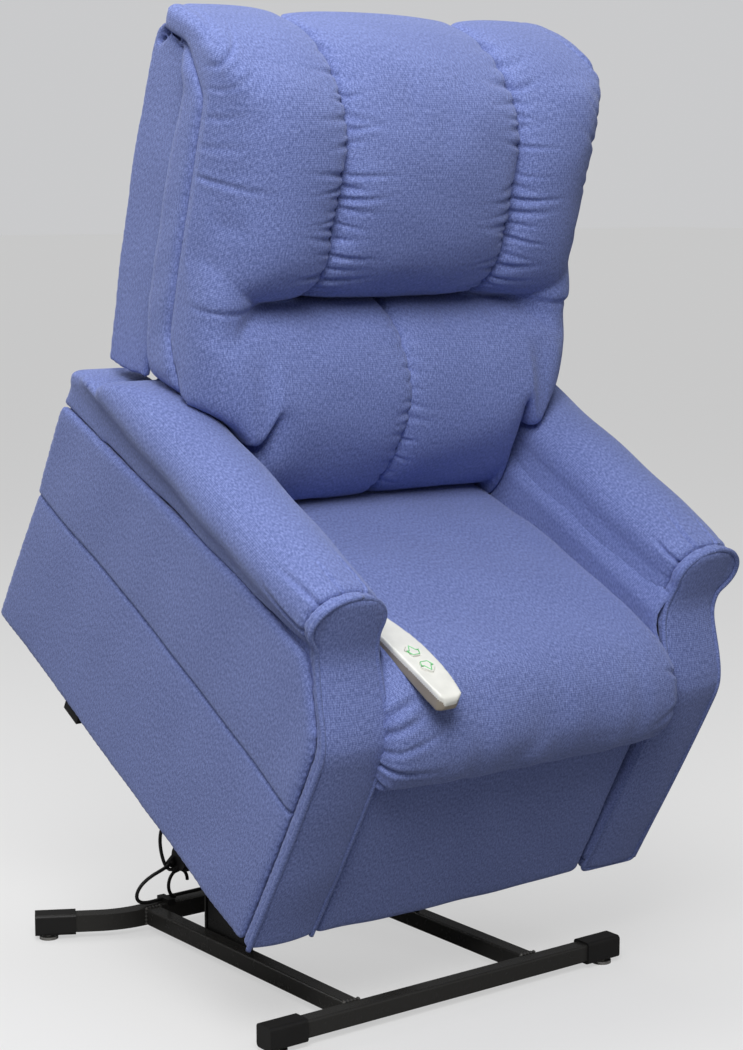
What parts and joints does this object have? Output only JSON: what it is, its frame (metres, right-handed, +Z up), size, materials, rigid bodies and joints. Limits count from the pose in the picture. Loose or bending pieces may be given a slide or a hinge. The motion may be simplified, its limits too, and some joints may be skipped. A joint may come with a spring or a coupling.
{
  "type": "lift recliner chair",
  "caption": "Upholstered power lift recliner raised and tilted forward on a tubular steel lift base, with footrest, reclining back and corded two-button handset.",
  "frame": {"origin": "on the floor, centred under the whole chair", "axes": "+X across the chair, to the right for someone looking at its front, the chair faces -Y, +Z up"},
  "size_m": [0.8218, 0.999, 1.5305],
  "materials": {
    "upholstery": "woven, heathered",
    "black_plastic": "matt",
    "bright_steel": "satin",
    "plywood": "raw",
    "ivory_plastic": "gloss",
    "white_key": "gloss",
    "black_steel": "satin black"
  },
  "bodies": {
    "base": {"base_front_tube": "black_steel", "base_rails": "black_steel", "base_rear_tube": "black_steel", "base_end_caps": "black_plastic", "base_glides": "bright_steel", "lift_brackets": "black_steel", "base_pivot_pins": "bright_steel", "actuator_mount": "black_steel", "cable_loop": "black_plastic"},
    "lift_arms": {"lift_arm_left": "black_steel", "lift_arm_right": "black_steel", "lift_torque_tube": "black_steel", "lift_arm_pins": "bright_steel"},
    "front_links": {"front_link_left": "black_steel", "front_link_right": "black_steel"},
    "actuator": {"actuator_housing": "black_plastic", "actuator_tube": "black_steel", "actuator_motor": "black_plastic"},
    "actuator_rod": {"actuator_rod": "bright_steel"},
    "chair": {"mechanism_plates": "black_steel", "mechanism_cross_tubes": "black_steel", "lift_plates": "black_steel", "chair_pivot_pins": "bright_steel", "arm_frame_left": "plywood", "arm_frame_right": "plywood", "side_panel_left": "upholstery", "side_panel_right": "upholstery", "arm_front_left": "upholstery", "arm_front_right": "upholstery", "arm_pad_left": "upholstery", "arm_pad_right": "upholstery", "seat_frame": "plywood", "seat_springs": "black_steel", "seat_cushion": "upholstery", "rear_panel": "upholstery", "side_feet": "black_plastic", "handset_body": "ivory_plastic"},
    "up_key": {"button_up": "white_key"},
    "down_key": {"button_down": "white_key"},
    "back": {"back_frame": "plywood", "back_brackets": "black_steel", "back_shell": "upholstery", "back_core": "upholstery", "back_pad_left": "upholstery", "back_pad_center": "upholstery", "back_pad_right": "upholstery", "lumbar_pad_left": "upholstery", "lumbar_pad_right": "upholstery"},
    "leg_upper": {"leg_links_upper": "black_steel", "leg_upper_pins": "bright_steel"},
    "leg_lower": {"leg_links_lower": "black_steel", "leg_lower_pins": "bright_steel"},
    "footrest_panel": {"footrest_board": "plywood", "footrest_brackets": "black_steel", "footrest_pad": "upholstery"}
  },
  "joints": [
    {"name": "lift", "type": "hinge", "parent": "base", "child": "lift_arms", "pos_m": [0, 0.16227, 0.268], "axis": [1, 0, 0], "range_deg": [-86, 0]},
    {"name": "lift_tilt", "type": "hinge", "parent": "lift_arms", "child": "chair", "pos_m": [0, 0.35095, 0.53014], "axis": [1, 0, 0], "range_deg": [0, 57.88]},
    {"name": "front_link_swing", "type": "hinge", "parent": "base", "child": "front_links", "pos_m": [0, 0.10827, 0.253], "axis": [1, 0, 0], "range_deg": [-93.93, 0]},
    {"name": "actuator_tilt", "type": "hinge", "parent": "base", "child": "actuator", "pos_m": [0, 0.40227, 0.075], "axis": [1, 0, 0], "range_deg": [-7.57, 0]},
    {"name": "actuator_stroke", "type": "slide", "parent": "actuator", "child": "actuator_rod", "axis": [0, -0.6915, 0.7224], "range_m": [-0.08891, 0]},
    {"name": "recline", "type": "hinge", "parent": "chair", "child": "back", "pos_m": [0, 0.25934, 0.7227], "axis": [-1, 0, 0], "range_deg": [0, 28]},
    {"name": "footrest", "type": "hinge", "parent": "chair", "child": "leg_upper", "pos_m": [0, -0.27301, 0.42675], "axis": [-1, 0, 0], "range_deg": [0, 114.86]},
    {"name": "footrest_lower_link", "type": "hinge", "parent": "leg_upper", "child": "leg_lower", "pos_m": [0, -0.08151, 0.27853], "axis": [-1, 0, 0], "range_deg": [-121.75, 0]},
    {"name": "footrest_board_turn", "type": "hinge", "parent": "leg_lower", "child": "footrest_panel", "pos_m": [0, -0.25115, 0.33071], "axis": [-1, 0, 0], "range_deg": [0, 94.79]},
    {"name": "up_button", "type": "slide", "parent": "chair", "child": "up_key", "axis": [0, 0.4404, -0.8978], "range_m": [0, 0.0012]},
    {"name": "down_button", "type": "slide", "parent": "chair", "child": "down_key", "axis": [0, 0.4404, -0.8978], "range_m": [0, 0.0012]}
  ],
  "couplings": [
    {"joint": "lift_tilt", "follows": "lift", "ratio": -0.67291},
    {"joint": "front_link_swing", "follows": "lift", "ratio": 1.0921},
    {"joint": "actuator_tilt", "follows": "lift", "ratio": 0.087936},
    {"joint": "actuator_stroke", "follows": "lift", "m_per_rad": 0.059167},
    {"joint": "footrest_lower_link", "follows": "footrest", "ratio": -1.0599},
    {"joint": "footrest_board_turn", "follows": "footrest", "ratio": 0.82518}
  ]
}
